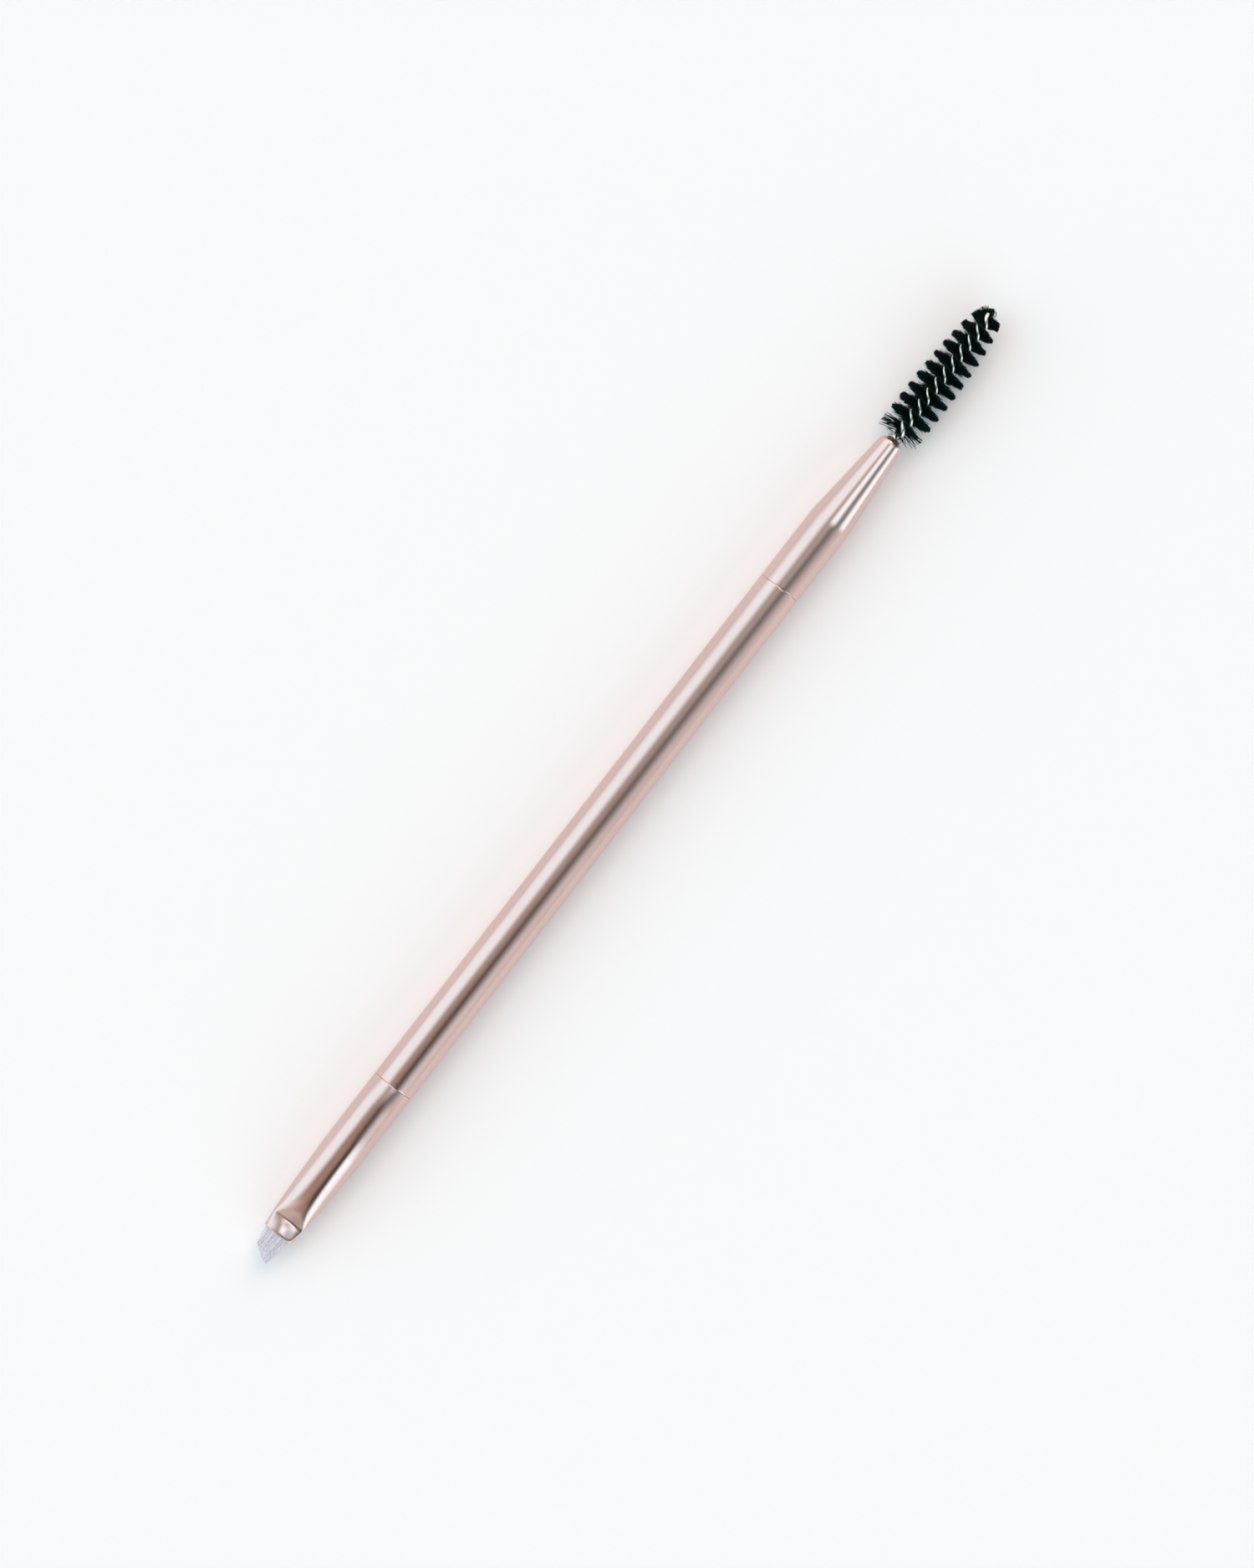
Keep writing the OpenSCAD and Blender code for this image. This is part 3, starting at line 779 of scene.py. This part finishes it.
class BRUSH_OT_stage(BrushOperator):
    """Lay the pale floor, light it softly and look straight down"""
    bl_idname = "brow_brush.stage"
    bl_label = "Stage"

    def execute(self, context):
        stage = context.scene.brush_stage
        self.lay_floor(stage)
        self.light_world(context.scene, stage)
        self.place_camera(context.scene, stage)
        view = context.scene.view_settings
        view.view_transform = "Standard"
        return {"FINISHED"}

    def lay_floor(self, stage):
        bm = bmesh.new()
        bmesh.ops.create_grid(bm, x_segments=1, y_segments=1, size=stage.floor_size)
        mesh = bpy.data.meshes.new("floor")
        bm.to_mesh(mesh)
        bm.free()
        floor = bpy.data.objects.new("floor", mesh)
        bpy.context.scene.collection.objects.link(floor)
        material = bpy.data.materials.new("pale_floor")
        material.use_nodes = True
        tree = material.node_tree
        tree.nodes.clear()
        output = add_node(tree, "ShaderNodeOutputMaterial")
        total = add_node(tree, "ShaderNodeAddShader")
        diffuse = add_node(tree, "ShaderNodeBsdfDiffuse")
        glow = add_node(tree, "ShaderNodeEmission")
        diffuse.inputs["Color"].default_value = (*[stage.floor_albedo] * 3, 1.0)
        shown = self.shown_rays(tree)
        level = add_node(tree, "ShaderNodeMath", operation="MULTIPLY")
        level.inputs[1].default_value = stage.floor_glow
        tree.links.new(shown, level.inputs[0])
        tree.links.new(level.outputs["Value"], glow.inputs["Strength"])
        tree.links.new(diffuse.outputs["BSDF"], total.inputs[0])
        tree.links.new(glow.outputs["Emission"], total.inputs[1])
        tree.links.new(total.outputs["Shader"], output.inputs["Surface"])
        mesh.materials.append(material)

    def shown_rays(self, tree):
        """1 for camera, glossy and transmission rays."""
        path = add_node(tree, "ShaderNodeLightPath")
        total = path.outputs["Is Camera Ray"]
        for name in ("Is Glossy Ray", "Is Transmission Ray"):
            larger = add_node(tree, "ShaderNodeMath", operation="MAXIMUM")
            tree.links.new(total, larger.inputs[0])
            tree.links.new(path.outputs[name], larger.inputs[1])
            total = larger.outputs["Value"]
        return total

    def light_world(self, scene, stage):
        world = bpy.data.worlds.new("soft_studio")
        scene.world = world
        world.use_nodes = True
        tree = world.node_tree
        background = tree.nodes["Background"]
        coords = add_node(tree, "ShaderNodeTexCoord")
        parts = add_node(tree, "ShaderNodeSeparateXYZ")
        tree.links.new(coords.outputs["Generated"], parts.inputs["Vector"])
        away = add_node(tree, "ShaderNodeMath", operation="MULTIPLY")
        away.inputs[1].default_value = -1.0
        tree.links.new(parts.outputs["Y"], away.inputs[0])
        bearing = add_node(tree, "ShaderNodeMath", operation="ARCTAN2")
        tree.links.new(away.outputs["Value"], bearing.inputs[0])
        tree.links.new(parts.outputs["Z"], bearing.inputs[1])
        turn = add_node(tree, "ShaderNodeMapRange")
        turn.inputs["From Min"].default_value = stage.sky_turn - math.pi
        turn.inputs["From Max"].default_value = stage.sky_turn + math.pi
        tree.links.new(bearing.outputs["Value"], turn.inputs["Value"])
        sky = None
        for stops, near, far in LIGHTS:
            band = self.sky_band(tree, turn.outputs["Result"], stops)
            if sky is None:
                sky = band
                continue
            share = add_node(tree, "ShaderNodeMapRange", interpolation_type="SMOOTHSTEP")
            share.inputs["From Min"].default_value = near
            share.inputs["From Max"].default_value = far
            tree.links.new(parts.outputs["X"], share.inputs["Value"])
            mix = add_node(tree, "ShaderNodeMix", data_type="RGBA")
            tree.links.new(share.outputs["Result"], mix.inputs["Factor"])
            tree.links.new(sky, mix.inputs["A"])
            tree.links.new(band, mix.inputs["B"])
            sky = mix.outputs["Result"]
        path = add_node(tree, "ShaderNodeLightPath")
        seen = add_node(tree, "ShaderNodeMix", data_type="RGBA")
        seen.inputs["B"].default_value = (*[stage.backdrop] * 3, 1.0)
        tree.links.new(path.outputs["Is Camera Ray"], seen.inputs["Factor"])
        tree.links.new(sky, seen.inputs["A"])
        tree.links.new(seen.outputs["Result"], background.inputs["Color"])

    def sky_band(self, tree, turn, stops):
        """Light round the handle's axis, from (degrees from straight up, colour) stops."""
        node = add_node(tree, "ShaderNodeValToRGB")
        fill_ramp(node.color_ramp, [((angle + 180.0) / 360.0, rgb) for angle, rgb in stops])
        tree.links.new(turn, node.inputs["Fac"])
        return node.outputs["Color"]

    def place_camera(self, scene, stage):
        data = bpy.data.cameras.new("camera")
        data.lens = stage.lens
        data.sensor_width = 36.0
        camera = bpy.data.objects.new("camera", data)
        scene.collection.objects.link(camera)
        distance = stage.photo_height * stage.lens / data.sensor_width
        camera.location = (0.0, 0.0, AXIS_Z + distance)
        camera.rotation_euler = (0.0, 0.0, -stage.axis_tilt)
        data.clip_start = 0.01
        data.clip_end = 20.0
        scene.camera = camera


# The studio's lights, walls and flags, as levels of red, green and blue
KEY = (1.16, 1.5, 1.65)
STRIP = (1.4, 1.85, 2.05)
LAMP = (2.95, 2.25, 1.95)
ROSE = (1.8, 1.35, 1.2)
PALE = (0.85, 0.9, 0.93)
STONE = (0.75, 0.72, 0.7)
GREY = (0.56, 0.58, 0.57)
SMOKE = (0.35, 0.37, 0.4)
BROWN = (0.46, 0.36, 0.3)
SHADE = (0.2, 0.23, 0.23)
UMBER = (0.15, 0.1, 0.07)
BLACK = (0.08, 0.08, 0.07)

# Where they stand round the handle's axis: degrees from straight up, positive towards -Y. Each band
# takes over from those before it between two values of the direction's X.
TUBE_LIGHTS = [(-84, PALE), (-60, KEY), (-32, KEY), (-12, GREY), (7, GREY), (24, SHADE),
               (29, SHADE), (80, PALE), (180, BROWN)]
MIDDLE_LIGHTS = [(-90, PALE), (-74, KEY), (-38, KEY), (-18, GREY), (-4, BROWN), (16, BLACK),
                 (56, PALE), (180, BROWN)]
WARM_LIGHTS = [(-90, PALE), (-74, KEY), (-38, KEY), (-18, BROWN), (-5, BROWN), (12, BLACK),
               (19, BLACK), (56, PALE), (180, BROWN)]
BROW_LIGHTS = [(-96, PALE), (-70, KEY), (-40, KEY), (-18, BROWN), (6, BROWN), (22, BLACK),
               (31, BLACK), (44, STRIP), (64, STRIP), (98, PALE), (180, BROWN)]
PRESS_LIGHTS = [(-92, PALE), (-70, KEY), (-40, KEY), (-12, STONE), (8, BROWN), (18, BROWN),
                (29, BLACK), (40, STRIP), (56, STRIP), (94, KEY), (180, BROWN)]
PINCH_LIGHTS = [(-60, ROSE), (-40, KEY), (-18, STONE), (16, STONE), (25, SHADE), (34, STRIP),
                (64, STONE), (92, BROWN)]
CONE_LIGHTS = [(-84, PALE), (-60, KEY), (-28, KEY), (-15, GREY), (-7, GREY), (6, STRIP),
               (19, STRIP), (34, SMOKE), (47, SMOKE), (64, STRIP), (94, STRIP), (112, PALE)]
MOUTH_LIGHTS = [(-90, STONE), (-40, ROSE), (-16, ROSE), (-4, PALE), (16, PALE), (32, BROWN),
                (50, SHADE)]
NOSE_LIGHTS = [(-90, GREY), (-60, PALE), (-36, ROSE), (-16, LAMP), (2, LAMP), (13, UMBER)]
FAR_LIGHTS = [(-90, GREY), (-36, ROSE), (-16, LAMP), (2, LAMP), (12, STONE), (40, SMOKE)]
LIGHTS = [
    (TUBE_LIGHTS, 0.0, 0.0), (MIDDLE_LIGHTS, 0.045, -0.03), (WARM_LIGHTS, -0.03, -0.075),
    (BROW_LIGHTS, -0.09, -0.13), (PRESS_LIGHTS, -0.36, -0.5), (PINCH_LIGHTS, -0.58, -0.8),
    (CONE_LIGHTS, 0.115, 0.155), (MOUTH_LIGHTS, 0.28, 0.34), (NOSE_LIGHTS, 0.36, 0.42),
    (FAR_LIGHTS, 0.72, 0.8),
]

PIECE_OPERATORS = (
    BRUSH_OT_handle_tube, BRUSH_OT_brow_ferrule, BRUSH_OT_brow_bristles,
    BRUSH_OT_spoolie_ferrule, BRUSH_OT_spoolie_wire, BRUSH_OT_spoolie_bristles,
    BRUSH_OT_inner_pieces, BRUSH_OT_stage,
)
SETTINGS = {
    "brush_metal": MetalSettings, "brush_brow": BrowSettings,
    "brush_spoolie": SpoolieSettings, "brush_stage": StageSettings,
}


class BRUSH_PT_parts(bpy.types.Panel):
    """Lists the brush's pieces"""
    bl_idname = "BRUSH_PT_parts"
    bl_label = "Eyebrow brush"
    bl_space_type = "VIEW_3D"
    bl_region_type = "UI"
    bl_category = "Brush"

    def draw(self, context):
        for operator in PIECE_OPERATORS:
            self.layout.operator(operator.bl_idname)
        for name, group in SETTINGS.items():
            box = self.layout.box()
            for field in group.__annotations__:
                box.prop(getattr(context.scene, name), field)


def register():
    for group in SETTINGS.values():
        bpy.utils.register_class(group)
    for name, group in SETTINGS.items():
        setattr(bpy.types.Scene, name, PointerProperty(type=group))
    for part in (*PIECE_OPERATORS, BRUSH_PT_parts):
        bpy.utils.register_class(part)


def unregister():
    for part in reversed((*PIECE_OPERATORS, BRUSH_PT_parts)):
        bpy.utils.unregister_class(part)
    for name, group in SETTINGS.items():
        delattr(bpy.types.Scene, name)
        bpy.utils.unregister_class(group)


def main():
    register()
    for operator in PIECE_OPERATORS:
        family, name = operator.bl_idname.split(".")
        getattr(getattr(bpy.ops, family), name)()


if __name__ == "__main__":
    main()
